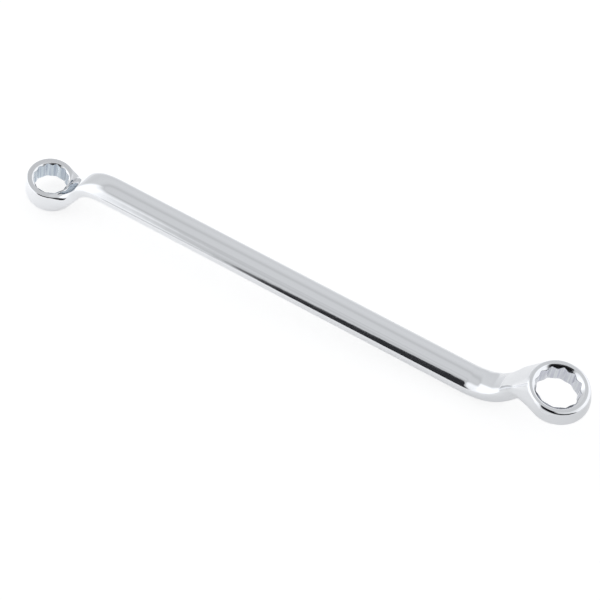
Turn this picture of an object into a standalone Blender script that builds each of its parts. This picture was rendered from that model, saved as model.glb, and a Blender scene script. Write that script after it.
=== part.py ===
"""Double ended ring spanner with deep offset heads, forged in one piece.

Metres, +Z up.  The spanner lies as it would be put down on a bench: on the rim of the
small head and on the low bend beside the large head.  The origin is on the bench under
the middle of the spanner, and +X runs from the small head to the large one.
"""
import math

import bmesh
import bpy
from mathutils import Matrix, Vector

# Whole spanner
CENTRE_DISTANCE = 0.2501
HEAD_TILT = math.radians(4.9)

# Oval shank
SHANK_WIDTH = 0.0136
SHANK_THICKNESS = 0.0105
SHANK_SQUARENESS = 2.2

# Small head, for a 14 mm nut, and its neck
SMALL_ACROSS_FLATS = 0.0142
SMALL_WALL = 0.00245
SMALL_UNDER_WALL = 0.0030
SMALL_BULGE = 0.0009
SMALL_NOSE = 0.0001
SMALL_HEIGHT = 0.0099
SMALL_LEAD_IN = 0.0002
SMALL_BEVEL = 0.00025
SMALL_UNDER_BEVEL = 0.0003
SMALL_UNDER_DEPTH = 0.0003
SMALL_OFFSET = 0.01795
SMALL_NECK_ANGLE = math.radians(55.0)
SMALL_ROOT_WIDTH = 0.0142
SMALL_ROOT_THICKNESS = 0.0066
SMALL_NECK_WIDTH = 0.0116
SMALL_NECK_THICKNESS = 0.0063
SMALL_NECK_REACH = 0.0093
SMALL_HEAD_BEND = 0.0110
SMALL_SHANK_BEND = 0.0152

# Large head, for a 17 mm nut, and its neck
LARGE_ACROSS_FLATS = 0.0172
LARGE_WALL = 0.0028
LARGE_UNDER_WALL = 0.0026
LARGE_BULGE = 0.0009
LARGE_NOSE = 0.0007
LARGE_HEIGHT = 0.0106
LARGE_LEAD_IN = 0.0010
LARGE_BEVEL = 0.0005
LARGE_UNDER_BEVEL = 0.0008
LARGE_UNDER_DEPTH = 0.0021
LARGE_OFFSET = 0.0215
LARGE_NECK_ANGLE = math.radians(57.0)
LARGE_ROOT_WIDTH = 0.0152
LARGE_ROOT_THICKNESS = 0.0076
LARGE_NECK_WIDTH = 0.0131
LARGE_NECK_THICKNESS = 0.0079
LARGE_NECK_REACH = 0.0115
LARGE_HEAD_BEND = 0.0106
LARGE_SHANK_BEND = 0.0210

# Edges and surfaces that both ends share
WALL_LEAN = math.radians(3.4)
LEAD_IN_SLOPE = math.radians(38.0)
NECK_SQUARENESS = 3.2
BEND_HOLD = 0.005
SHARP_ANGLE = math.radians(25.0)
CONE_OVERRUN = 0.0001
CUT_OVERRUN = 0.0020

# Counts, and shares of a whole
NUT_CORNERS = 6
BORE_POINTS = 2 * NUT_CORNERS
HEAD_SIDES = 2 * BORE_POINTS
BORE_STEPS = 3
PATCH_SIDES = 8
PATCH_ROWS = 4
SECTION_POINTS = 2 * (PATCH_SIDES + PATCH_ROWS)
BEND_STEPS = 3
SHANK_STEPS = 3
SMOOTHING = 1
ROOT_SHARE = 0.45
NECK_START_SHARE = 0.08
NECK_SIDE_SHARE = 0.8
FACE_LOOP_SHARE = 0.45
BELLY_SHARE = 0.3

# How long an edge stays sharp while it is smoothed: an open face's edge, and a softer one
FACE_CREASE = 1.0
RIM_CREASE = 0.5

# How far a smoothed loop of evenly spread points draws in towards its middle
HEAD_DRAW_IN = (2 + math.cos(math.tau / HEAD_SIDES)) / 3
SECTION_DRAW_IN = (2 + math.cos(math.tau / SECTION_POINTS)) / 3

# The share of its bulge that a smoothed loop keeps between two others
BULGE_KEPT = 2 / 3

CHROME_COLOUR = (0.62, 0.64, 0.66, 1.0)
CHROME_ROUGHNESS = 0.08


class End:
    """The sizes of one head and of the neck that joins it to the shank.

    An end is worked out with its head at +X, in the frame of the shank, whose middle is
    the origin.  The small end is then turned half round about Y.  The upper side is the one
    that faces up when the spanner lies on the bench, and the under sizes are for the other.
    """

    def __init__(self, turn, upper, across_flats, wall, under_wall, bulge, nose, height, lead_in,
                 bevel, under_bevel, under_depth, offset, angle, root_width, root_thickness,
                 neck_width, neck_thickness, reach, head_bend, shank_bend):
        self.turn = Matrix.Rotation(turn, 4, "Y")
        self.corner_radius = across_flats / 2 / math.cos(math.pi / NUT_CORNERS)
        self.notch_radius = across_flats / 2 / math.cos(math.pi / BORE_POINTS)
        self.radius = self.corner_radius + wall
        self.under_radius = self.corner_radius + under_wall
        self.belly = self.radius + bulge / BULGE_KEPT
        self.nose = nose
        self.height = height
        self.top = upper * height / 2
        self.lead_in_radius = self.corner_radius + lead_in
        self.bevel = bevel
        self.under_bevel = under_bevel
        self.under_depth = under_depth
        self.angle = angle
        self.root_width = root_width
        self.root_thickness = root_thickness
        self.neck_width = neck_width
        self.neck_thickness = neck_thickness
        self.reach = reach
        self.head_bend = head_bend
        self.shank_bend = shank_bend
        self.middle = Vector((CENTRE_DISTANCE / 2, 0, offset))
        self.place = Matrix.Translation(self.middle) @ Matrix.Rotation(HEAD_TILT, 4, "Y")


SMALL_END = End(turn=math.pi, upper=-1, across_flats=SMALL_ACROSS_FLATS, wall=SMALL_WALL,
                under_wall=SMALL_UNDER_WALL, bulge=SMALL_BULGE, nose=SMALL_NOSE,
                height=SMALL_HEIGHT, lead_in=SMALL_LEAD_IN, bevel=SMALL_BEVEL,
                under_bevel=SMALL_UNDER_BEVEL, under_depth=SMALL_UNDER_DEPTH,
                offset=SMALL_OFFSET, angle=SMALL_NECK_ANGLE, root_width=SMALL_ROOT_WIDTH,
                root_thickness=SMALL_ROOT_THICKNESS, neck_width=SMALL_NECK_WIDTH,
                neck_thickness=SMALL_NECK_THICKNESS, reach=SMALL_NECK_REACH,
                head_bend=SMALL_HEAD_BEND, shank_bend=SMALL_SHANK_BEND)
LARGE_END = End(turn=0, upper=1, across_flats=LARGE_ACROSS_FLATS, wall=LARGE_WALL,
                under_wall=LARGE_UNDER_WALL, bulge=LARGE_BULGE, nose=LARGE_NOSE,
                height=LARGE_HEIGHT, lead_in=LARGE_LEAD_IN, bevel=LARGE_BEVEL,
                under_bevel=LARGE_UNDER_BEVEL, under_depth=LARGE_UNDER_DEPTH,
                offset=LARGE_OFFSET, angle=LARGE_NECK_ANGLE, root_width=LARGE_ROOT_WIDTH,
                root_thickness=LARGE_ROOT_THICKNESS, neck_width=LARGE_NECK_WIDTH,
                neck_thickness=LARGE_NECK_THICKNESS, reach=LARGE_NECK_REACH,
                head_bend=LARGE_HEAD_BEND, shank_bend=LARGE_SHANK_BEND)


def clear_scene():
    for thing in list(bpy.data.objects):
        bpy.data.objects.remove(thing, do_unlink=True)


def mix(start, end, share):
    return start + (end - start) * share


def ease(share):
    """Runs from 0 to 1 with a level start and a level end."""
    share = min(max(share, 0), 1)
    return share * share * (3 - 2 * share)


def rounded(value, squareness):
    return math.copysign(abs(value) ** (2 / squareness), value)


def arc(corner, before, after, radius):
    """Points and headings round a corner of the centre line, from its first tangent point."""
    swept = before.angle(after)
    start = corner - before * radius * math.tan(swept / 2)
    aside = (after - before * before.dot(after)).normalized()
    steps = []
    for step in range(BEND_STEPS + 1):
        turned = swept * step / BEND_STEPS
        point = start + before * radius * math.sin(turned) + aside * radius * (1 - math.cos(turned))
        steps.append((point, before * math.cos(turned) + aside * math.sin(turned)))
    return steps


def neck_bends(end):
    """The centre line's two bends in the XZ plane: out of the head, and into the shank."""
    head = Vector((end.middle.x, end.middle.z))
    level = Vector((-math.cos(HEAD_TILT), math.sin(HEAD_TILT)))
    down = Vector((-math.cos(end.angle), -math.sin(end.angle)))
    along = Vector((-1, 0))
    head_corner = head + level * end.reach
    shank_corner = head_corner + down * head_corner.y / math.sin(end.angle)
    return arc(head_corner, level, down, end.head_bend), arc(shank_corner, down, along, end.shank_bend)


def section(place, width, thickness, squareness):
    """Points round one oval cross section, in the order of the open rim on the head."""
    point, heading = place
    up = Vector((heading.y, -heading.x))
    spots = []
    for number in range(SECTION_POINTS):
        around = math.tau * (number - PATCH_ROWS / 2) / SECTION_POINTS
        across = rounded(math.cos(around), squareness) * width / 2 / SECTION_DRAW_IN
        rise = rounded(math.sin(around), squareness) * thickness / 2 / SECTION_DRAW_IN
        flat = point + up * rise
        spots.append(Vector((flat.x, across, flat.y)))
    return spots


def neck_sections(end):
    """Cross sections from the head's side of the neck to the middle of the shank."""
    head_bend, shank_bend = neck_bends(end)
    rows = [section(head_bend[-1], end.root_width, end.root_thickness, NECK_SQUARENESS)]
    halfway = ((head_bend[-1][0] + shank_bend[0][0]) / 2, shank_bend[0][1])
    rows.append(section(halfway, end.neck_width, end.neck_thickness, NECK_SQUARENESS))
    for number, place in enumerate(shank_bend):
        share = ease(number / BEND_STEPS)
        width = mix(end.neck_width, SHANK_WIDTH, share)
        thickness = mix(end.neck_thickness, SHANK_THICKNESS, share)
        rows.append(section(place, width, thickness, mix(NECK_SQUARENESS, SHANK_SQUARENESS, share)))
    last, heading = shank_bend[-1]
    straight = last.x - BEND_HOLD
    for step in range(SHANK_STEPS + 1):
        place = (Vector((mix(straight, 0, step / SHANK_STEPS), 0)), heading)
        rows.append(section(place, SHANK_WIDTH, SHANK_THICKNESS, SHANK_SQUARENESS))
    return rows


def grow(mesh, rim, spots):
    """Adds a row of faces to an open rim and returns the new rim, in the same order."""
    edges = [mesh.edges.get((rim[number - 1], vert)) for number, vert in enumerate(rim)]
    made = bmesh.ops.extrude_edge_only(mesh, edges=edges)
    fresh = {item for item in made["geom"] if isinstance(item, bmesh.types.BMVert)}
    following = []
    for vert, spot in zip(rim, spots):
        new = next(edge.other_vert(vert) for edge in vert.link_edges if edge.other_vert(vert) in fresh)
        new.co = spot
        following.append(new)
    return following


def leaned(end, height):
    """How far along the shank the forged wall has shifted at a height."""
    return (end.top - height) * math.tan(WALL_LEAN)


def around_ring(radius, height, shift):
    spots = []
    for number in range(HEAD_SIDES):
        around = math.tau * number / HEAD_SIDES
        spots.append(Vector((math.cos(around), math.sin(around), 0)) * radius / HEAD_DRAW_IN)
        spots[-1] += Vector((shift, 0, height))
    return spots


def around_wall(end, radius, height):
    """A loop on the forged wall, which is thicker towards the head's tip."""
    spots = around_ring(radius, height, leaned(end, height))
    for number, spot in enumerate(spots):
        around = math.tau * number / HEAD_SIDES
        spot += Vector((math.cos(around), math.sin(around), 0)) * end.nose * max(math.cos(around), 0)
    return spots


def around_face(inner, outer):
    """A loop on the head's face, which swings in to the bore's rim where the neck starts."""
    spots = []
    for number, (near, far) in enumerate(zip(inner, outer)):
        aside = abs(number - HEAD_SIDES / 2) / (PATCH_SIDES / 2)
        if aside <= 1:
            share = mix(NECK_START_SHARE, NECK_SIDE_SHARE, aside ** 3)
        else:
            share = mix(NECK_SIDE_SHARE, FACE_LOOP_SHARE, ease(aside - 1))
        spots.append(mix(near, far, share))
    return spots


def head_rows(end):
    """The spots and the sharpness of each loop of the head, from the face that the neck bends past.

    The first and last loops lie inside the bore, so that the metal round it stays flat.
    """
    half = end.height / 2
    sides = [(end.radius, end.bevel, end.bevel, RIM_CREASE)]
    sides.append((end.under_radius, end.under_bevel, end.under_depth, 0))
    if end.top > 0:
        sides.reverse()
    low_radius, low_bevel, low_depth, low_crease = sides[0]
    high_radius, high_bevel, high_depth, high_crease = sides[1]
    low_rim = around_ring(end.lead_in_radius, -half, 0)
    low_face = around_ring(low_radius - low_bevel, -half, leaned(end, -half))
    high_face = around_ring(high_radius - high_bevel, half, leaned(end, half))
    return (
        (around_ring(end.notch_radius, -half, 0), 0),
        (around_face(low_rim, low_face), 0),
        (low_face, FACE_CREASE),
        (around_wall(end, low_radius, -half + low_depth), low_crease),
        (around_wall(end, end.belly, -end.top * BELLY_SHARE), 0),
        (around_wall(end, high_radius, half - high_depth), high_crease),
        (high_face, FACE_CREASE),
        (around_ring(end.notch_radius, half, 0), 0),
    )


def crease(mesh, loop, amount):
    layer = mesh.edges.layers.float.get("crease_edge") or mesh.edges.layers.float.new("crease_edge")
    for number, vert in enumerate(loop):
        mesh.edges.get((loop[number - 1], vert))[layer] = amount


def add_head(mesh, end):
    """Makes the head as a solid disc and returns the rim of the hole left for the neck."""
    rows = head_rows(end)
    disc = bmesh.ops.create_circle(mesh, segments=HEAD_SIDES, radius=end.radius, cap_ends=True)
    loops = [disc["verts"]]
    for vert, spot in zip(loops[0], rows[0][0]):
        vert.co = spot
    for spots, sharp in rows[1:]:
        loops.append(grow(mesh, loops[-1], spots))
    mesh.faces.new(loops[-1])
    for loop, (spots, sharp) in zip(loops, rows):
        crease(mesh, loop, sharp)
    loops = loops[1:]
    first = (HEAD_SIDES - PATCH_SIDES) // 2
    last = first + PATCH_SIDES
    patch = {vert for loop in loops[:PATCH_ROWS + 1] for vert in loop[first:last + 1]}
    inside = [face for face in mesh.faces if patch.issuperset(face.verts)]
    bmesh.ops.delete(mesh, geom=inside, context="FACES")
    near_side = [loop[first] for loop in loops[:PATCH_ROWS]]
    far_face = loops[PATCH_ROWS][first:last]
    far_side = [loop[last] for loop in reversed(loops[1:PATCH_ROWS + 1])]
    near_face = list(reversed(loops[0][first + 1:last + 1]))
    return near_side + far_face + far_side + near_face


def add_end(mesh, end):
    """Adds one head with its neck and its half of the shank."""
    earlier = set(mesh.verts)
    rim = add_head(mesh, end)
    bmesh.ops.transform(mesh, matrix=end.place, verts=[vert for vert in mesh.verts if vert not in earlier])
    rows = neck_sections(end)
    rim = grow(mesh, rim, [mix(vert.co, spot, ROOT_SHARE) for vert, spot in zip(rim, rows[0])])
    for spots in rows:
        rim = grow(mesh, rim, spots)
    bmesh.ops.transform(mesh, matrix=end.turn, verts=[vert for vert in mesh.verts if vert not in earlier])
    return rim


def finish_mesh(mesh, name):
    bmesh.ops.recalc_face_normals(mesh, faces=mesh.faces)
    data = bpy.data.meshes.new(name)
    mesh.to_mesh(data)
    mesh.free()
    thing = bpy.data.objects.new(name, data)
    bpy.context.scene.collection.objects.link(thing)
    return thing


def forging():
    """The spanner before its bores are cut: both ends, joined at the middle of the shank."""
    mesh = bmesh.new()
    rims = [add_end(mesh, end) for end in (SMALL_END, LARGE_END)]
    rest = list(rims[0])
    pairs = {}
    for vert in rims[1]:
        partner = min(rest, key=lambda other: (other.co - vert.co).length)
        pairs[vert] = partner
        rest.remove(partner)
    bmesh.ops.weld_verts(mesh, targetmap=pairs)
    return finish_mesh(mesh, "ring_spanner")


def bore_outline(end):
    """The twelve point outline: two hexagons laid over each other, with a notch on the shank's line."""
    sides = 2 * BORE_POINTS
    corners = []
    for number in range(sides + 1):
        radius = end.corner_radius if number % 2 else end.notch_radius
        around = math.tau * number / sides
        corners.append(Vector((math.cos(around), math.sin(around), 0)) * radius)
    outline = []
    for start, finish in zip(corners, corners[1:]):
        for step in range(BORE_STEPS):
            outline.append(mix(start, finish, step / BORE_STEPS))
    return outline


def add_bore(mesh, end):
    """The twelve point hole with the cones that lead into it from both faces, as one solid."""
    slope = math.tan(LEAD_IN_SLOPE)
    half = end.height / 2
    outline = bore_outline(end)
    wide = end.lead_in_radius + CONE_OVERRUN / slope
    rim = [spot.normalized() * wide for spot in outline]
    feet = [half - (end.lead_in_radius - spot.length) * slope for spot in outline]
    up = Vector((0, 0, 1))
    rows = [
        [spot - up * (half + CUT_OVERRUN) for spot in rim],
        [spot - up * (half + CONE_OVERRUN) for spot in rim],
        [spot - up * foot for spot, foot in zip(outline, feet)],
        [spot + up * foot for spot, foot in zip(outline, feet)],
        [spot + up * (half + CONE_OVERRUN) for spot in rim],
        [spot + up * (half + CUT_OVERRUN) for spot in rim],
    ]
    earlier = set(mesh.verts)
    loop = bmesh.ops.create_circle(mesh, segments=len(outline), radius=wide, cap_ends=True)["verts"]
    for vert, spot in zip(loop, rows[0]):
        vert.co = spot
    for spots in rows[1:]:
        loop = grow(mesh, loop, spots)
    mesh.faces.new(loop)
    place = end.turn @ end.place
    bmesh.ops.transform(mesh, matrix=place, verts=[vert for vert in mesh.verts if vert not in earlier])


def bore_cutter():
    mesh = bmesh.new()
    for end in (SMALL_END, LARGE_END):
        add_bore(mesh, end)
    cutter = finish_mesh(mesh, "bore_cutter")
    cutter.hide_render = True
    cutter.display_type = "WIRE"
    return cutter


def smooth(thing):
    modifier = thing.modifiers.new("forged_surface", "SUBSURF")
    modifier.levels = SMOOTHING
    modifier.render_levels = SMOOTHING


def cut(thing, cutter):
    modifier = thing.modifiers.new(cutter.name, "BOOLEAN")
    modifier.operation = "DIFFERENCE"
    modifier.solver = "EXACT"
    modifier.object = cutter


def lower_hull(spots):
    """The underside of a set of (x, z) spots, as the corners of its convex outline."""
    hull = []
    for spot in sorted(spots):
        while len(hull) > 1 and turns_down(hull[-2], hull[-1], spot):
            hull.pop()
        hull.append(spot)
    return hull


def turns_down(first, second, third):
    return (second[0] - first[0]) * (third[1] - first[1]) <= (second[1] - first[1]) * (third[0] - first[0])


def laid_down(thing):
    """How the spanner turns and moves to lie on the bench, on either side of its middle."""
    bpy.context.view_layer.update()
    shape = thing.evaluated_get(bpy.context.evaluated_depsgraph_get()).to_mesh()
    spots = [vert.co.copy() for vert in shape.vertices]
    hull = lower_hull({(spot.x, spot.z) for spot in spots})
    left, right = next((a, b) for a, b in zip(hull, hull[1:]) if a[0] <= 0 < b[0])
    pitch = Matrix.Rotation(math.atan2(right[1] - left[1], right[0] - left[0]), 4, "Y")
    turned = [pitch @ spot for spot in spots]
    xs = [spot.x for spot in turned]
    drop = min(spot.z for spot in turned)
    return Matrix.Translation((-(min(xs) + max(xs)) / 2, 0, -drop)) @ pitch


def chrome():
    material = bpy.data.materials.new("polished_chrome_plate")
    material.use_nodes = True
    shader = material.node_tree.nodes["Principled BSDF"]
    shader.inputs["Base Color"].default_value = CHROME_COLOUR
    shader.inputs["Metallic"].default_value = 1
    shader.inputs["Roughness"].default_value = CHROME_ROUGHNESS
    return material


def build():
    clear_scene()
    spanner = forging()
    spanner.data.materials.append(chrome())
    smooth(spanner)
    cutter = bore_cutter()
    rest = laid_down(spanner)
    for thing in (spanner, cutter):
        thing.data.transform(rest)
    cut(spanner, cutter)
    spanner.data.shade_smooth()
    spanner.data.set_sharp_from_angle(angle=SHARP_ANGLE)


build()
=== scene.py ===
"""Looks of the deep offset ring spanner: one plated forging on a pale bench, in studio light.

Metres, +Z up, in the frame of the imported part.  The spanner lies on the rim of the small
ring and on the low bend beside the large ring, and +X runs from the small ring to the large.
"""

import math

import bmesh
import bpy
from mathutils import Euler, Matrix, Vector


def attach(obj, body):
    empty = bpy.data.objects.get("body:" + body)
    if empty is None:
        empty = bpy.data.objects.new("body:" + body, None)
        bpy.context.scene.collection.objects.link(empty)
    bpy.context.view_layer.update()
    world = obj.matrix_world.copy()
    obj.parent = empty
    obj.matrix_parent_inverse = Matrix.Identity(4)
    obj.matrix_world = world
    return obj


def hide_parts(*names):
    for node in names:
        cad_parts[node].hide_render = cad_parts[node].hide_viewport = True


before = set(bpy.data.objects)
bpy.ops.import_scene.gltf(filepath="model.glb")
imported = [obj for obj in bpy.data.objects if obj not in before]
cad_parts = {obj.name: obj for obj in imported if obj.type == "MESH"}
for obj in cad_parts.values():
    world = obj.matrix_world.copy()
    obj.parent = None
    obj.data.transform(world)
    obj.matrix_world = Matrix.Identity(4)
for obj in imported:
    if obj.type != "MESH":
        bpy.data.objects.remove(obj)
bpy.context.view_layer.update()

# Whole spanner
CENTRE_DISTANCE = 0.2501
HEAD_TILT = math.radians(4.9)

# Oval shank, where a squareness of 2 would be an ellipse and a larger one is nearer to a box
SHANK_WIDTH = 0.0136
SHANK_THICKNESS = 0.0105
SHANK_SQUARENESS = 2.2

# What both ends share: the slope of the cones, the lean of the forged walls, how square the
# necks are, and the straight stretch of shank behind each bend
LEAD_IN_SLOPE = math.radians(38.0)
WALL_LEAN = math.radians(3.4)
NECK_SQUARENESS = 3.2
BEND_HOLD = 0.005

# Twelve points need twenty four corners round each ring, and the cage follows them
NUT_CORNERS = 6
BORE_POINTS = 2 * NUT_CORNERS
HEAD_SIDES = 2 * BORE_POINTS

# The patch of the ring that opens into the neck: its sides and rows, and the ring's loop that it
# starts on.  The points of its rim go on round each cross section
PATCH_SIDES = 8
PATCH_ROWS = 4
PATCH_START = 2
SECTION_POINTS = 2 * (PATCH_SIDES + PATCH_ROWS)

# Steps of the cage along each bend and half of the shank, and how often it is smoothed
BEND_STEPS = 3
SHANK_STEPS = 3
SMOOTHING = 3

# How far the neck's first loop has gone from the ring's opening to the neck's own section
ROOT_SHARE = 0.45

# Place of the loop on the ring's face between the bore and the wall: in front of the neck,
# beside it, and round the rest of the ring
NECK_START_SHARE = 0.08
NECK_SIDE_SHARE = 0.8
FACE_LOOP_SHARE = 0.45

# What smoothing leaves of a round loop's radius, and of a bulge between two loops
HEAD_DRAW_IN = (2 + math.cos(math.tau / HEAD_SIDES)) / 3
SECTION_DRAW_IN = (2 + math.cos(math.tau / SECTION_POINTS)) / 3
BULGE_KEPT = 2 / 3

# How far below the ring's middle its wall swells most, as a share of half its height
BELLY_SHARE = 0.3

# How sharp an edge stays while the cage is smoothed, from 0 to 1, which leaves it a small radius
RIM_CREASE = 0.50
BROACH_CREASE = 0.55

# Chromium plate mirrors some three quarters of the light, and a little less of the red
CHROME = "#DEDFE1"

# Length, spacing, wander and depth of the marks that each finish leaves
FORGING_WAVE = 0.009
WAVE_DEPTH = 0.000015
BELT_LENGTH = 0.02
BELT_GAP = 0.001
BELT_DEPTH = 0.0000015
TURNING_GAP = 0.0009
TURNING_WANDER = 0.8
TURNING_DEPTH = 0.000004
BROACH_LENGTH = 0.015
BROACH_GAP = 0.0008
BROACH_DEPTH = 0.00001

# Roughness of each finish where its marks are low and where they are high
BELT_ROUGHNESS = (0.04, 0.08)
TURNING_ROUGHNESS = (0.09, 0.15)
BROACH_ROUGHNESS = (0.1, 0.2)

# The values that count as low and high marks in a noise texture, and in a wave texture
NOISE_SPREAD = (0.3, 0.7)
WAVE_SPREAD = (0, 1)

# Tints of the thin plate in each bore, and the values of its scores that they stand at
TINT_PLACES = (0.35, 0.5, 0.65)
SMALL_BORE_TINTS = ("#AFB9C6", "#C0C8D0", "#CCD5DB")
LARGE_BORE_TINTS = ("#CACBD6", "#D6D8DE", "#E0E3E6")

# Radians that the wave texture turns through in one of its own units
WAVE_NODE_RATE = 20

# Places of the finishes in the spanner's material list
POLISHED = 0
TURNED = 1
BROACHED = 2

# Places of the Mix node's sockets, because its vector and its colour sockets share their names
VECTOR_A = 4
VECTOR_B = 5
COLOUR_A = 6
COLOUR_B = 7
MIXED_VECTOR = 1
MIXED_COLOUR = 2


class End:
    """One ring head and the neck that joins it to the shank, worked out at +X of the shank."""

    def __init__(
        self,
        turn,             # radians about Y that bring it to its own end of the shank
        upper,            # 1 where its own +Z side lies upwards, and -1 where its -Z side does
        across_flats,     # the nut that it turns
        wall,             # thickness outside the bore's corners, at the upper face
        under_wall,       # the same at the under face
        bulge,            # how far the wall swells between the two faces
        nose,             # how much thicker the wall is at the tip
        height,           # of the ring along its bore
        lead_in,          # how far outside the corners the cone's rim is
        bevel,            # rounding of the upper face's outer edge
        under_bevel,      # rounding of the under face's outer edge, across the face
        under_depth,      # and along the wall
        offset,           # of the ring's middle from the shank's line
        angle,            # between the neck and the shank
        root_width,       # section of the neck where it leaves the ring
        root_thickness,
        neck_width,       # section of the neck halfway along
        neck_thickness,
        reach,            # from the ring's middle to the corner of the centre line
        head_bend,        # radius of the bend at the ring
        shank_bend,       # radius of the bend at the shank
    ):
        self.turn = Matrix.Rotation(turn, 4, "Y")
        self.corner_radius = across_flats / 2 / math.cos(math.pi / NUT_CORNERS)
        self.notch_radius = across_flats / 2 / math.cos(math.pi / BORE_POINTS)
        self.radius = self.corner_radius + wall
        self.under_radius = self.corner_radius + under_wall
        self.height = height
        self.top = upper * height / 2
        self.lead_in_radius = self.corner_radius + lead_in
        self.bevel = bevel
        self.under_bevel = under_bevel
        self.under_depth = under_depth
        self.nose = nose
        self.belly = self.radius + bulge / BULGE_KEPT
        self.angle = angle
        self.root_width = root_width
        self.root_thickness = root_thickness
        self.neck_width = neck_width
        self.neck_thickness = neck_thickness
        self.reach = reach
        self.head_bend = head_bend
        self.shank_bend = shank_bend
        self.middle = Vector((CENTRE_DISTANCE / 2, 0, offset))
        self.place = Matrix.Translation(self.middle) @ Matrix.Rotation(HEAD_TILT, 4, "Y")


SMALL_END = End(
    turn=math.pi, upper=-1, across_flats=0.0142, wall=0.00245, under_wall=0.0030, bulge=0.0009,
    nose=0.0001, height=0.0099, lead_in=0.0002, bevel=0.00025, under_bevel=0.0003,
    under_depth=0.0003, offset=0.01795, angle=math.radians(55.0),
    root_width=0.0142, root_thickness=0.0066, neck_width=0.0116, neck_thickness=0.0063,
    reach=0.0093, head_bend=0.0110, shank_bend=0.0152,
)
LARGE_END = End(
    turn=0, upper=1, across_flats=0.0172, wall=0.0028, under_wall=0.0026, bulge=0.0009,
    nose=0.0007, height=0.0106, lead_in=0.0010, bevel=0.0005, under_bevel=0.0008,
    under_depth=0.0021, offset=0.0215, angle=math.radians(57.0),
    root_width=0.0152, root_thickness=0.0076, neck_width=0.0131, neck_thickness=0.0079,
    reach=0.0115, head_bend=0.0106, shank_bend=0.0210,
)

# How the spanner pitches and rises from the frame of its shank to lie on the bench
REST_PITCH = math.radians(5.3398)
REST = Matrix.Translation((-0.0015568, 0, 0.0131478)) @ Matrix.Rotation(REST_PITCH, 4, "Y")


def mix(start, end, share):
    """The value that lies a share of the way from the start to the end."""
    return start + (end - start) * share


def ease(share):
    """Runs from 0 to 1 with a level start and a level end."""
    share = min(max(share, 0), 1)
    return share * share * (3 - 2 * share)


def rounded(value, squareness):
    """Bends the sine or cosine of a circle to that of a squarer oval."""
    return math.copysign(abs(value) ** (2 / squareness), value)


def arc(corner, before, after, radius):
    """Points and headings round a corner of the centre line, from its first tangent point."""
    swept = before.angle(after)
    start = corner - before * radius * math.tan(swept / 2)
    aside = (after - before * before.dot(after)).normalized()
    steps = []
    for step in range(BEND_STEPS + 1):
        turned = swept * step / BEND_STEPS
        point = start + before * radius * math.sin(turned) + aside * radius * (1 - math.cos(turned))
        steps.append((point, before * math.cos(turned) + aside * math.sin(turned)))
    return steps


def neck_bends(end):
    """The centre line's two bends in the XZ plane: out of the ring, and into the shank."""
    head = Vector((end.middle.x, end.middle.z))
    level = Vector((-math.cos(HEAD_TILT), math.sin(HEAD_TILT)))
    down = Vector((-math.cos(end.angle), -math.sin(end.angle)))
    along = Vector((-1, 0))
    head_corner = head + level * end.reach
    shank_corner = head_corner + down * head_corner.y / math.sin(end.angle)
    return arc(head_corner, level, down, end.head_bend), arc(shank_corner, down, along, end.shank_bend)


def section(place, width, thickness, squareness):
    """Points round one oval cross section, in the order of the open rim on the ring."""
    point, heading = place
    up = Vector((heading.y, -heading.x))
    spots = []
    for number in range(SECTION_POINTS):
        around = math.tau * (number - PATCH_ROWS / 2) / SECTION_POINTS
        across = rounded(math.cos(around), squareness) * width / 2 / SECTION_DRAW_IN
        rise = rounded(math.sin(around), squareness) * thickness / 2 / SECTION_DRAW_IN
        flat = point + up * rise
        spots.append(Vector((flat.x, across, flat.y)))
    return spots


def neck_sections(end):
    """Cross sections from the ring's side of the neck to the middle of the shank."""
    head_bend, shank_bend = neck_bends(end)
    rows = [section(head_bend[-1], end.root_width, end.root_thickness, NECK_SQUARENESS)]
    halfway = ((head_bend[-1][0] + shank_bend[0][0]) / 2, shank_bend[0][1])
    rows.append(section(halfway, end.neck_width, end.neck_thickness, NECK_SQUARENESS))
    for number, place in enumerate(shank_bend):
        share = ease(number / BEND_STEPS)
        width = mix(end.neck_width, SHANK_WIDTH, share)
        thickness = mix(end.neck_thickness, SHANK_THICKNESS, share)
        rows.append(section(place, width, thickness, mix(NECK_SQUARENESS, SHANK_SQUARENESS, share)))
    last, heading = shank_bend[-1]
    straight = last.x - BEND_HOLD
    for step in range(SHANK_STEPS + 1):
        place = (Vector((mix(straight, 0, step / SHANK_STEPS), 0)), heading)
        rows.append(section(place, SHANK_WIDTH, SHANK_THICKNESS, SHANK_SQUARENESS))
    return rows


def grow(mesh, rim, spots, finish=POLISHED):
    """Extrudes an open rim to new spots and returns the new rim, in the same order."""
    edges = [mesh.edges.get((rim[number - 1], vert)) for number, vert in enumerate(rim)]
    made = bmesh.ops.extrude_edge_only(mesh, edges=edges)
    fresh = {item for item in made["geom"] if isinstance(item, bmesh.types.BMVert)}
    for item in made["geom"]:
        if isinstance(item, bmesh.types.BMFace):
            item.material_index = finish
    following = []
    for vert, spot in zip(rim, spots):
        new = next(edge.other_vert(vert) for edge in vert.link_edges if edge.other_vert(vert) in fresh)
        new.co = spot
        following.append(new)
    return following


def leaned(end, height):
    """How far along the shank the forged wall has shifted at a height."""
    return (end.top - height) * math.tan(WALL_LEAN)


def around_ring(radius, height, shift=0):
    """A round loop at a height of the ring, moved along the shank by the shift."""
    spots = []
    for number in range(HEAD_SIDES):
        turned = math.tau * number / HEAD_SIDES
        spots.append(Vector((math.cos(turned), math.sin(turned), 0)) * radius / HEAD_DRAW_IN)
        spots[-1] += Vector((shift, 0, height))
    return spots


def around_wall(end, radius, height):
    """A loop on the forged wall, which is thicker towards the ring's tip."""
    spots = around_ring(radius, height, leaned(end, height))
    for number, spot in enumerate(spots):
        turned = math.tau * number / HEAD_SIDES
        spot += Vector((math.cos(turned), math.sin(turned), 0)) * end.nose * max(math.cos(turned), 0)
    return spots


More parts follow.
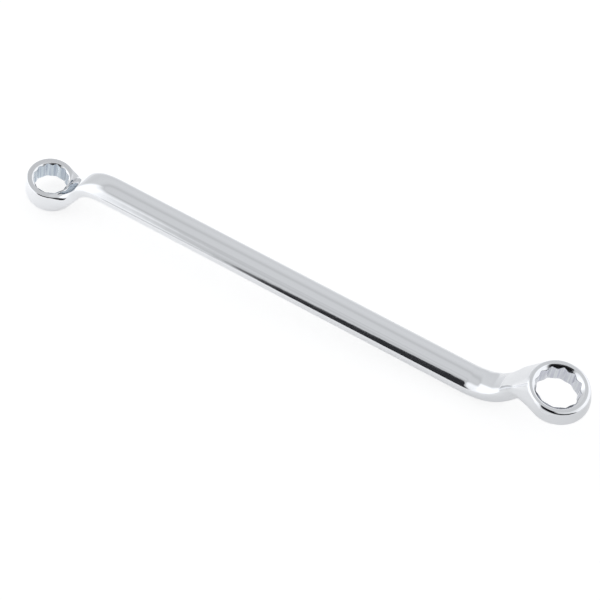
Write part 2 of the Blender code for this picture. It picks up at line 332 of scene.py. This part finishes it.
def around_bore(end, side):
    """The broached outline where it meets the lead in cone: deep corners and shallow notches."""
    spots = []
    for number in range(HEAD_SIDES):
        radius = end.corner_radius if number % 2 else end.notch_radius
        turned = math.tau * number / HEAD_SIDES
        foot = end.height / 2 - (end.lead_in_radius - radius) * math.tan(LEAD_IN_SLOPE)
        spots.append(Vector((radius * math.cos(turned), radius * math.sin(turned), side * foot)))
    return spots


def around_face(inner, outer):
    """A loop on the ring's face, which swings in to the bore's rim where the neck starts."""
    spots = []
    for number, (near, far) in enumerate(zip(inner, outer)):
        aside = abs(number - HEAD_SIDES / 2) / (PATCH_SIDES / 2)
        if aside <= 1:
            share = mix(NECK_START_SHARE, NECK_SIDE_SHARE, aside ** 3)
        else:
            share = mix(NECK_SIDE_SHARE, FACE_LOOP_SHARE, ease(aside - 1))
        spots.append(mix(near, far, share))
    return spots


def head_rows(end):
    """Each loop of the ring, out of the bore and back: spots, finish before it and sharpness."""
    half = end.height / 2
    upper_side = (end.radius, end.bevel, end.bevel, RIM_CREASE)
    under_side = (end.under_radius, end.under_bevel, end.under_depth, 0)
    low_side, high_side = (under_side, upper_side) if end.top > 0 else (upper_side, under_side)
    low_radius, low_bevel, low_depth, low_crease = low_side
    high_radius, high_bevel, high_depth, high_crease = high_side
    low_rim = around_ring(end.lead_in_radius, -half)
    low_face = around_ring(low_radius - low_bevel, -half, leaned(end, -half))
    return (
        (around_bore(end, -1), BROACHED, BROACH_CREASE),
        (low_rim, TURNED, RIM_CREASE),
        (around_face(low_rim, low_face), TURNED, 0),
        (low_face, TURNED, RIM_CREASE),
        (around_wall(end, low_radius, -half + low_depth), POLISHED, low_crease),
        (around_wall(end, end.belly, -end.top * BELLY_SHARE), POLISHED, 0),
        (around_wall(end, high_radius, half - high_depth), POLISHED, high_crease),
        (around_ring(high_radius - high_bevel, half, leaned(end, half)), POLISHED, RIM_CREASE),
        (around_ring(end.lead_in_radius, half), TURNED, RIM_CREASE),
        (around_bore(end, 1), TURNED, BROACH_CREASE),
    )


def crease(mesh, loop, amount):
    """Keeps a closed loop of edges sharp while the cage is smoothed."""
    layer = mesh.edges.layers.float.get("crease_edge") or mesh.edges.layers.float.new("crease_edge")
    for number, vert in enumerate(loop):
        mesh.edges.get((loop[number - 1], vert))[layer] = amount


def add_head(mesh, end):
    """Makes the ring with its bore and returns the rim of the opening left for the neck."""
    rows = head_rows(end)
    loops = [bmesh.ops.create_circle(mesh, segments=HEAD_SIDES, radius=end.radius)["verts"]]
    for vert, spot in zip(loops[0], rows[0][0]):
        vert.co = spot
    for spots, finish, sharp in rows[1:]:
        loops.append(grow(mesh, loops[-1], spots, finish))
    closing = grow(mesh, loops[-1], rows[0][0], BROACHED)
    bmesh.ops.weld_verts(mesh, targetmap=dict(zip(closing, loops[0])))
    for loop, (spots, finish, sharp) in zip(loops, rows):
        crease(mesh, loop, sharp)
    layer = mesh.edges.layers.float.get("crease_edge")
    for low, high in zip(loops[0], loops[-1]):
        mesh.edges.get((low, high))[layer] = BROACH_CREASE

    # The neck opens from the loop on the lower face to the upper loop on the wall
    first = (HEAD_SIDES - PATCH_SIDES) // 2
    last = first + PATCH_SIDES
    opened = loops[PATCH_START:PATCH_START + PATCH_ROWS + 1]
    patch = {vert for loop in opened for vert in loop[first:last + 1]}
    inside = [face for face in mesh.faces if patch.issuperset(face.verts)]
    bmesh.ops.delete(mesh, geom=inside, context="FACES")
    near_side = [loop[first] for loop in opened[:-1]]
    far_face = opened[-1][first:last]
    far_side = [loop[last] for loop in reversed(opened[1:])]
    near_face = list(reversed(opened[0][first + 1:last + 1]))
    return near_side + far_face + far_side + near_face


def add_end(mesh, end):
    """Adds one ring with its neck and its half of the shank."""
    earlier = set(mesh.verts)
    rim = add_head(mesh, end)
    bmesh.ops.transform(mesh, matrix=end.place, verts=[vert for vert in mesh.verts if vert not in earlier])
    rows = neck_sections(end)
    rim = grow(mesh, rim, [mix(vert.co, spot, ROOT_SHARE) for vert, spot in zip(rim, rows[0])])
    for spots in rows:
        rim = grow(mesh, rim, spots)
    bmesh.ops.transform(mesh, matrix=end.turn, verts=[vert for vert in mesh.verts if vert not in earlier])
    return rim


def forged_spanner():
    """The whole forging as one smoothed cage: both ends, joined at the middle of the shank."""
    mesh = bmesh.new()
    rims = [add_end(mesh, end) for end in (SMALL_END, LARGE_END)]
    unpaired = list(rims[0])
    pairs = {}
    for vert in rims[1]:
        partner = min(unpaired, key=lambda other: (other.co - vert.co).length)
        pairs[vert] = partner
        unpaired.remove(partner)
    bmesh.ops.weld_verts(mesh, targetmap=pairs)
    bmesh.ops.transform(mesh, matrix=REST, verts=mesh.verts)
    bmesh.ops.recalc_face_normals(mesh, faces=mesh.faces)
    data = bpy.data.meshes.new("forged_spanner")
    mesh.to_mesh(data)
    mesh.free()
    data.shade_smooth()
    forging = bpy.data.objects.new("forged_spanner", data)
    bpy.context.scene.collection.objects.link(forging)
    surface = forging.modifiers.new("forged_surface", "SUBSURF")
    surface.levels = SMOOTHING
    surface.render_levels = SMOOTHING
    return forging


def linear(code):
    """An sRGB colour such as #C8C9CC as the linear values that the shaders take."""
    channels = [int(code[start:start + 2], 16) / 255 for start in (1, 3, 5)]
    values = [value / 12.92 if value <= 0.04045 else ((value + 0.055) / 1.055) ** 2.4 for value in channels]
    return (*values, 1.0)


def add_node(tree, kind, settings=None, links=None, stops=()):
    """Adds a node: its settings or socket values, what feeds its sockets, and a ramp's colour stops."""
    node = tree.nodes.new(kind)
    for name, value in (settings or {}).items():
        if isinstance(name, str) and hasattr(node, name):
            setattr(node, name, value)
        else:
            node.inputs[name].default_value = value
    for name, source in (links or {}).items():
        tree.links.new(source, node.inputs[name])
    for number, (place, colour) in enumerate(stops):
        ramp = node.color_ramp.elements
        stop = ramp[number] if number < 2 else ramp.new(place)
        stop.position = place
        stop.color = colour
    return node


def plate(name):
    """Bare chromium plate, for a finish to draw the marks of its making on."""
    material = bpy.data.materials.new(name)
    material.use_nodes = True
    tree = material.node_tree
    shader = tree.nodes["Principled BSDF"]
    shader.inputs["Base Color"].default_value = linear(CHROME)
    shader.inputs["Metallic"].default_value = 1
    return material, tree, shader


def mark_plate(tree, shader, marks, depth, spread, roughness, under=None):
    """Raises the plate by the marks, over any waves under them, and dulls it where they are high."""
    feeds = {"Height": marks}
    if under is not None:
        feeds["Normal"] = under
    bump = add_node(tree, "ShaderNodeBump", {"Strength": 1, "Distance": depth}, feeds)
    lowest, highest = spread
    smoothest, roughest = roughness
    gloss = add_node(
        tree, "ShaderNodeMapRange",
        {"From Min": lowest, "From Max": highest, "To Min": smoothest, "To Max": roughest},
        {"Value": marks},
    )
    tree.links.new(bump.outputs[0], shader.inputs["Normal"])
    tree.links.new(gloss.outputs[0], shader.inputs["Roughness"])


def polished_chrome():
    """Mirror plate over a belt polished forging: its slight waves bend whatever it mirrors."""
    material, tree, shader = plate("polished_chrome_plate")
    place = add_node(tree, "ShaderNodeTexCoord").outputs["Object"]
    waves = add_node(
        tree, "ShaderNodeTexNoise", {"Scale": 1 / FORGING_WAVE, "Detail": 1}, {"Vector": place},
    ).outputs[0]
    wavy = add_node(
        tree, "ShaderNodeBump", {"Strength": 1, "Distance": WAVE_DEPTH}, {"Height": waves},
    ).outputs[0]
    # Belt lines lie some 0.1 mm apart, too fine to show here, so they are drawn 1 mm apart
    along = add_node(
        tree, "ShaderNodeMapping", {"Scale": (1 / BELT_LENGTH, 1 / BELT_GAP, 1 / BELT_GAP)},
        {"Vector": place},
    ).outputs[0]
    lines = add_node(tree, "ShaderNodeTexNoise", {"Scale": 1, "Detail": 2}, {"Vector": along}).outputs[0]
    mark_plate(tree, shader, lines, BELT_DEPTH, NOISE_SPREAD, BELT_ROUGHNESS, under=wavy)
    return material


def across_scene(tree):
    """X of each point, which runs from the small ring to the large."""
    place = add_node(tree, "ShaderNodeTexCoord").outputs["Object"]
    return add_node(tree, "ShaderNodeSeparateXYZ", links={"Vector": place}).outputs["X"]


def at_large_ring(tree):
    """Gives 1 in the half of the spanner with the large ring, and 0 in the other."""
    across = across_scene(tree)
    return add_node(tree, "ShaderNodeMath", {"operation": "GREATER_THAN", 1: 0}, {0: across}).outputs[0]


def bore_frame(tree, at_large):
    """Coordinates from the middle of the nearer ring, with Z along its bore."""
    place = add_node(tree, "ShaderNodeTexCoord").outputs["Object"]
    middles = {
        VECTOR_A: REST @ SMALL_END.turn @ SMALL_END.middle,
        VECTOR_B: REST @ LARGE_END.turn @ LARGE_END.middle,
    }
    middle = add_node(
        tree, "ShaderNodeMix", {"data_type": "VECTOR", **middles}, {0: at_large},
    ).outputs[MIXED_VECTOR]
    upright = add_node(
        tree, "ShaderNodeVectorRotate", {"rotation_type": "Y_AXIS", "Angle": -HEAD_TILT - REST_PITCH},
        {"Vector": place, "Center": middle},
    ).outputs[0]
    return add_node(
        tree, "ShaderNodeVectorMath", {"operation": "SUBTRACT"}, {0: upright, 1: middle},
    ).outputs[0]


def turned_chrome():
    """Plate over the turned ring faces and cones: fine rings round the bore soften the mirror."""
    material, tree, shader = plate("turned_chrome_plate")
    place = bore_frame(tree, at_large_ring(tree))
    # Turning marks lie some 0.15 mm apart, too fine to show here, so they are drawn 0.9 mm apart
    rings = add_node(
        tree, "ShaderNodeTexWave",
        {"wave_type": "RINGS", "rings_direction": "Z", "Distortion": TURNING_WANDER,
         "Scale": math.tau / WAVE_NODE_RATE / TURNING_GAP},
        {"Vector": place},
    ).outputs["Fac"]
    mark_plate(tree, shader, rings, TURNING_DEPTH, WAVE_SPREAD, TURNING_ROUGHNESS)
    return material


def broached_chrome():
    """Thin, duller plate in the bores: scored along them, a cool grey, and paler in the large one."""
    material, tree, shader = plate("broached_chrome_plate")
    at_large = at_large_ring(tree)
    place = bore_frame(tree, at_large)
    # Broach scores lie some 0.2 mm apart, too fine to show here, so they are drawn 0.8 mm apart
    along = add_node(
        tree, "ShaderNodeMapping", {"Scale": (1 / BROACH_GAP, 1 / BROACH_GAP, 1 / BROACH_LENGTH)},
        {"Vector": place},
    ).outputs[0]
    scores = add_node(tree, "ShaderNodeTexNoise", {"Scale": 1, "Detail": 2}, {"Vector": along}).outputs[0]
    small, large = (
        add_node(
            tree, "ShaderNodeValToRGB", links={"Fac": scores}, stops=zip(TINT_PLACES, map(linear, tints)),
        ).outputs[0]
        for tints in (SMALL_BORE_TINTS, LARGE_BORE_TINTS)
    )
    tint = add_node(
        tree, "ShaderNodeMix", {"data_type": "RGBA"}, {0: at_large, COLOUR_A: small, COLOUR_B: large},
    ).outputs[MIXED_COLOUR]
    # The plate is so thin here that the tint takes the place of its own colour
    tree.links.new(tint, shader.inputs["Base Color"])
    mark_plate(tree, shader, scores, BROACH_DEPTH, NOISE_SPREAD, BROACH_ROUGHNESS)
    return material


# Brightness of each side of the studio by elevation in degrees, as the plate mirrors it
STRAIGHT_UP = 90
LEFT_PANEL = ((-90, 0.86), (-70, 0.95), (-50, 1.0), (-35, 1.3), (-20, 1.42), (45, 1.42), (54, 1.2),
              (60, 0.92), (64, 0.76), (69, 0.81), (90, 0.83))
BACK_WALL = ((-90, 0.86), (-50, 0.95), (-35, 1.25), (-20, 1.15), (-8, 0.97), (0, 0.85), (15, 0.82),
             (40, 0.86), (50, 0.83), (60, 0.69), (68, 0.81), (90, 0.83))
RIGHT_PANEL = ((-90, 0.82), (-45, 0.84), (-20, 0.95), (0, 1.25), (38, 1.3), (50, 0.9), (60, 0.72),
               (68, 0.81), (90, 0.83))
FRONT_WALL = ((-90, 0.9), (-50, 1.0), (-36, 1.0), (-26, 0.85), (-15, 0.75), (0, 0.72), (25, 0.72),
              (43, 0.8), (53, 0.7), (60, 0.69), (66, 0.76), (69, 0.81), (90, 0.83))
COOL_TINT = (0.985, 1.0, 1.02)

# Azimuths are degrees round from +X towards +Y.  The sides are placed by an azimuth that is
# turned by this much, so that it doesn't jump from 180 to -180 inside the left panel
SIDES_TURN = math.radians(-120)

# Turned azimuths between which the back wall takes over from the right panel, and the left
# panel from the back wall
BACK_SEAM = (-32, -18)
LEFT_SEAM = (40, 58)

# Turned azimuth at which the left panel ends and the front wall starts, by elevation.  A colour
# ramp holds values from 0 to 1, so it holds these as shares of the span from the base
PANEL_END = ((-90, 124), (-20, 124), (-8, 131.5), (20, 131.5), (45, 129.2), (54, 125), (60, 122),
             (66, 118), (90, 118))
PANEL_END_BASE = 115
PANEL_END_SPAN = 20

# Degrees past the left panel's end between which the front wall takes over, and between which
# the panel fades before it
FRONT_SEAM = (-1.2, 1.3)
PANEL_FADING = (-19, -1)
PANEL_FADED = 0.82

# The dark gap in front: the angles outside and inside each of its soft edges, how its left edge
# leans by elevation and its upper one slopes by azimuth, and where it gets deeper
GAP_LEFT_EDGE = (-107.5, -106.7)
GAP_LEFT_LEAN = -0.09
GAP_RIGHT_EDGE = (2, -12)
GAP_LOW_EDGE = (-29, -20)
GAP_HIGH_EDGE = (42, 34)
GAP_HIGH_SLOPE = 0.24
GAP_COLOUR = (0.035, 0.036, 0.04, 1)
GAP_DEEPENING = (-100, -88)
GAP_DEEPEST = 0.15


def ramp_stops(levels, tint=(1, 1, 1)):
    """Colour stops of a ramp that runs from straight down to straight up."""
    stops = []
    for elevation, level in levels:
        share = (elevation / STRAIGHT_UP + 1) / 2
        stops.append((share, (*(level * part for part in tint), 1)))
    return stops


def azimuth_of(tree, direction):
    """Degrees round from +X towards +Y that a direction points to."""
    parts = add_node(tree, "ShaderNodeSeparateXYZ", links={"Vector": direction}).outputs
    bearing = add_node(tree, "ShaderNodeMath", {"operation": "ARCTAN2"}, {0: parts["Y"], 1: parts["X"]})
    return add_node(tree, "ShaderNodeMath", {"operation": "DEGREES"}, {0: bearing.outputs[0]}).outputs[0]


def elevation_of(tree, direction):
    """Degrees above level that a direction points to."""
    height = add_node(tree, "ShaderNodeSeparateXYZ", links={"Vector": direction}).outputs["Z"]
    rise = add_node(tree, "ShaderNodeMath", {"operation": "ARCSINE"}, {0: height})
    return add_node(tree, "ShaderNodeMath", {"operation": "DEGREES"}, {0: rise.outputs[0]}).outputs[0]


def past_left_panel(tree, azimuth, height):
    """Degrees that a turned azimuth lies past the left panel's end at a height."""
    shares = [(elevation, (end - PANEL_END_BASE) / PANEL_END_SPAN) for elevation, end in PANEL_END]
    share = add_node(
        tree, "ShaderNodeValToRGB", links={"Fac": height}, stops=ramp_stops(shares),
    ).outputs["Color"]
    panel_end = add_node(
        tree, "ShaderNodeMath", {"operation": "MULTIPLY_ADD", 1: PANEL_END_SPAN, 2: PANEL_END_BASE},
        {0: share},
    ).outputs[0]
    return add_node(
        tree, "ShaderNodeMath", {"operation": "SUBTRACT"}, {0: azimuth, 1: panel_end},
    ).outputs[0]


def studio_sides(tree, direction, elevation):
    """The studio's four sides, each laid over the one before from its seam on."""
    turned = add_node(
        tree, "ShaderNodeVectorRotate", {"rotation_type": "Z_AXIS", "Angle": SIDES_TURN},
        {"Vector": direction},
    ).outputs[0]
    azimuth = azimuth_of(tree, turned)
    height = add_node(
        tree, "ShaderNodeMapRange", {"From Min": -STRAIGHT_UP, "From Max": STRAIGHT_UP},
        {"Value": elevation},
    ).outputs[0]
    left, back, right, front = (
        add_node(
            tree, "ShaderNodeValToRGB", links={"Fac": height}, stops=ramp_stops(levels, COOL_TINT),
        ).outputs["Color"]
        for levels in (LEFT_PANEL, BACK_WALL, RIGHT_PANEL, FRONT_WALL)
    )
    past_end = past_left_panel(tree, azimuth, height)
    full, faded = PANEL_FADING
    fading = add_node(
        tree, "ShaderNodeMapRange",
        {"From Min": full, "From Max": faded, "To Min": 1, "To Max": PANEL_FADED}, {"Value": past_end},
    ).outputs[0]
    faded_left = add_node(
        tree, "ShaderNodeMix", {"data_type": "RGBA", "blend_type": "MULTIPLY", "Factor": 1},
        {COLOUR_A: left, COLOUR_B: fading},
    ).outputs[MIXED_COLOUR]
    sides = right
    for angle, (before, beyond), side in (
        (azimuth, BACK_SEAM, back),
        (azimuth, LEFT_SEAM, faded_left),
        (past_end, FRONT_SEAM, front),
    ):
        share = add_node(
            tree, "ShaderNodeMapRange",
            {"interpolation_type": "SMOOTHSTEP", "From Min": before, "From Max": beyond}, {"Value": angle},
        ).outputs[0]
        sides = add_node(
            tree, "ShaderNodeMix", {"data_type": "RGBA"}, {0: share, COLOUR_A: sides, COLOUR_B: side},
        ).outputs[MIXED_COLOUR]
    return sides


def dark_gap(tree, direction, elevation):
    """How much of a direction lies in the dark gap, and the gap's colour there."""
    azimuth = azimuth_of(tree, direction)
    leaning = add_node(
        tree, "ShaderNodeMath", {"operation": "MULTIPLY_ADD", 1: GAP_LEFT_LEAN}, {0: elevation, 2: azimuth},
    ).outputs[0]
    sloping = add_node(
        tree, "ShaderNodeMath", {"operation": "MULTIPLY_ADD", 1: GAP_HIGH_SLOPE}, {0: azimuth, 2: elevation},
    ).outputs[0]
    edges = []
    for angle, (outside, inside) in (
        (leaning, GAP_LEFT_EDGE),
        (azimuth, GAP_RIGHT_EDGE),
        (elevation, GAP_LOW_EDGE),
        (sloping, GAP_HIGH_EDGE),
    ):
        edges.append(add_node(
            tree, "ShaderNodeMapRange",
            {"interpolation_type": "SMOOTHSTEP", "From Min": outside, "From Max": inside}, {"Value": angle},
        ).outputs[0])
    within = edges[0]
    for edge in edges[1:]:
        within = add_node(tree, "ShaderNodeMath", {"operation": "MULTIPLY"}, {0: within, 1: edge}).outputs[0]
    shallow, deep = GAP_DEEPENING
    depth = add_node(
        tree, "ShaderNodeMapRange",
        {"From Min": shallow, "From Max": deep, "To Min": 1, "To Max": GAP_DEEPEST}, {"Value": azimuth},
    ).outputs[0]
    dark = add_node(
        tree, "ShaderNodeMix",
        {"data_type": "RGBA", "blend_type": "MULTIPLY", "Factor": 1, COLOUR_A: GAP_COLOUR},
        {COLOUR_B: depth},
    ).outputs[MIXED_COLOUR]
    return within, dark


def studio_light():
    """The studio round the spanner as the plate mirrors it, and plain white to the eye.

    A bright panel stands on the left and one on the right, with duller walls behind and in
    front.  A dark gap runs from the front wall round to the right panel.
    """
    world = bpy.data.worlds.new("studio")
    world.use_nodes = True
    tree = world.node_tree
    direction = add_node(tree, "ShaderNodeTexCoord").outputs["Generated"]
    elevation = elevation_of(tree, direction)
    sides = studio_sides(tree, direction, elevation)
    within, dark = dark_gap(tree, direction, elevation)
    studio = add_node(
        tree, "ShaderNodeMix", {"data_type": "RGBA"}, {0: within, COLOUR_A: sides, COLOUR_B: dark},
    ).outputs[MIXED_COLOUR]
    to_eye = add_node(tree, "ShaderNodeLightPath").outputs["Is Camera Ray"]
    shown = add_node(
        tree, "ShaderNodeMix", {"data_type": "RGBA", COLOUR_B: linear("#FFFFFF")},
        {0: to_eye, COLOUR_A: studio},
    ).outputs[MIXED_COLOUR]
    tree.links.new(shown, tree.nodes["Background"].inputs["Color"])
    return world


# The acrylic sheet's own colour, to the eye and as the plate mirrors it, and the glow that
# brings it up to white to the eye
BENCH_COLOUR = "#959595"
MIRRORED_BENCH_COLOUR = "#E7E7E7"
BENCH_GLOW = 0.79

# Size of the bench top that the plate mirrors, and its glow in that mirror by X: painted light, a glow that
# stands for the left panel's light falling off along the bench
BENCH_LENGTH = 0.36
BENCH_WIDTH = 0.1
MIRRORED_PAINTED_LIGHT = ((-0.17, 0.68), (-0.13, 0.49), (-0.05, 0.45), (0, 0.37), (0.08, 0.36), (0.11, 0.26),
                 (0.16, 0.22))

# The backdrop goes on far beyond the bench top, and lies just under it
BACKDROP_SIZE = 6
BACKDROP_DROP = 0.0001


def white_sheet():
    """Frosted white acrylic: plain white to the eye, and graded as the plate mirrors it.

    Its glow in that mirror is painted light, brighter on the left than on the right, standing for the left
    panel's light falling off along it.
    Its own colour is paler in that mirror, so that the spanner's shade on it shows there.
    """
    material = bpy.data.materials.new("white_acrylic_sheet")
    material.use_nodes = True
    tree = material.node_tree
    shader = tree.nodes["Principled BSDF"]
    shader.inputs["Roughness"].default_value = 1
    shader.inputs["Specular IOR Level"].default_value = 0
    shader.inputs["Emission Color"].default_value = linear("#FFFFFF")
    ray = add_node(tree, "ShaderNodeLightPath").outputs
    shade = add_node(
        tree, "ShaderNodeMix",
        {"data_type": "RGBA", COLOUR_A: linear(BENCH_COLOUR), COLOUR_B: linear(MIRRORED_BENCH_COLOUR)},
        {0: ray["Is Glossy Ray"]},
    ).outputs[MIXED_COLOUR]
    direct = add_node(
        tree, "ShaderNodeMath", {"operation": "MAXIMUM"},
        {0: ray["Is Camera Ray"], 1: ray["Is Transmission Ray"]},
    ).outputs[0]
    plain = add_node(
        tree, "ShaderNodeMath", {"operation": "MULTIPLY", 1: BENCH_GLOW}, {0: direct},
    ).outputs[0]
    # Painted light: the glow that the plate mirrors is graded along X, brighter on the left, as if the left
    # panel lit the bench
    share = add_node(
        tree, "ShaderNodeMapRange", {"From Min": -BENCH_LENGTH / 2, "From Max": BENCH_LENGTH / 2},
        {"Value": across_scene(tree)},
    ).outputs[0]
    stops = [(spot / BENCH_LENGTH + 0.5, (level, level, level, 1)) for spot, level in MIRRORED_PAINTED_LIGHT]
    painted_falloff = add_node(tree, "ShaderNodeValToRGB", links={"Fac": share}, stops=stops).outputs["Color"]
    glow = add_node(
        tree, "ShaderNodeMath", {"operation": "MULTIPLY_ADD"},
        {0: painted_falloff, 1: ray["Is Glossy Ray"], 2: plain},
    ).outputs[0]
    tree.links.new(shade, shader.inputs["Base Color"])
    tree.links.new(glow, shader.inputs["Emission Strength"])
    return material


def sheet(name, length, width, drop, material):
    """A level rectangle round the middle of the bench, lowered by the drop."""
    mesh = bmesh.new()
    bmesh.ops.create_grid(mesh, x_segments=1, y_segments=1, size=0.5)
    bmesh.ops.scale(mesh, vec=(length, width, 1), verts=mesh.verts)
    bmesh.ops.translate(mesh, vec=(0, 0, -drop), verts=mesh.verts)
    data = bpy.data.meshes.new(name)
    mesh.to_mesh(data)
    mesh.free()
    data.materials.append(material)
    laid = bpy.data.objects.new(name, data)
    bpy.context.scene.collection.objects.link(laid)
    return laid


# The photograph's view, fitted to the spanner's outline: sensor and lens in millimetres, and
# angles in degrees
SENSOR_WIDTH = 36
LENS = 165.144
CAMERA_PLACE = (0.403406, -0.60345, 0.935285)
CAMERA_ANGLES = (37.91254, 1.87503, 31.24117)
NEAREST_SEEN = 0.01
FURTHEST_SEEN = 50


def photo_camera():
    """The camera at the photograph's viewing angle."""
    data = bpy.data.cameras.new("photo_camera")
    data.sensor_width = SENSOR_WIDTH
    data.lens = LENS
    data.clip_start = NEAREST_SEEN
    data.clip_end = FURTHEST_SEEN
    camera = bpy.data.objects.new("photo_camera", data)
    camera.location = CAMERA_PLACE
    camera.rotation_euler = Euler([math.radians(angle) for angle in CAMERA_ANGLES])
    bpy.context.scene.collection.objects.link(camera)
    return camera


spanner = forged_spanner()
for finish in (polished_chrome(), turned_chrome(), broached_chrome()):
    spanner.data.materials.append(finish)
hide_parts("ring_spanner")
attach(spanner, "root")

bpy.context.scene.camera = photo_camera()
bpy.context.scene.view_settings.view_transform = "Standard"

bpy.context.scene.world = studio_light()
acrylic = white_sheet()
# The plate mirrors a bench top little longer than the spanner, and the studio beyond its edges
bench_top = sheet("bench_top", BENCH_LENGTH, BENCH_WIDTH, 0, acrylic)
backdrop = sheet("backdrop", BACKDROP_SIZE, BACKDROP_SIZE, BACKDROP_DROP, acrylic)
backdrop.visible_glossy = False
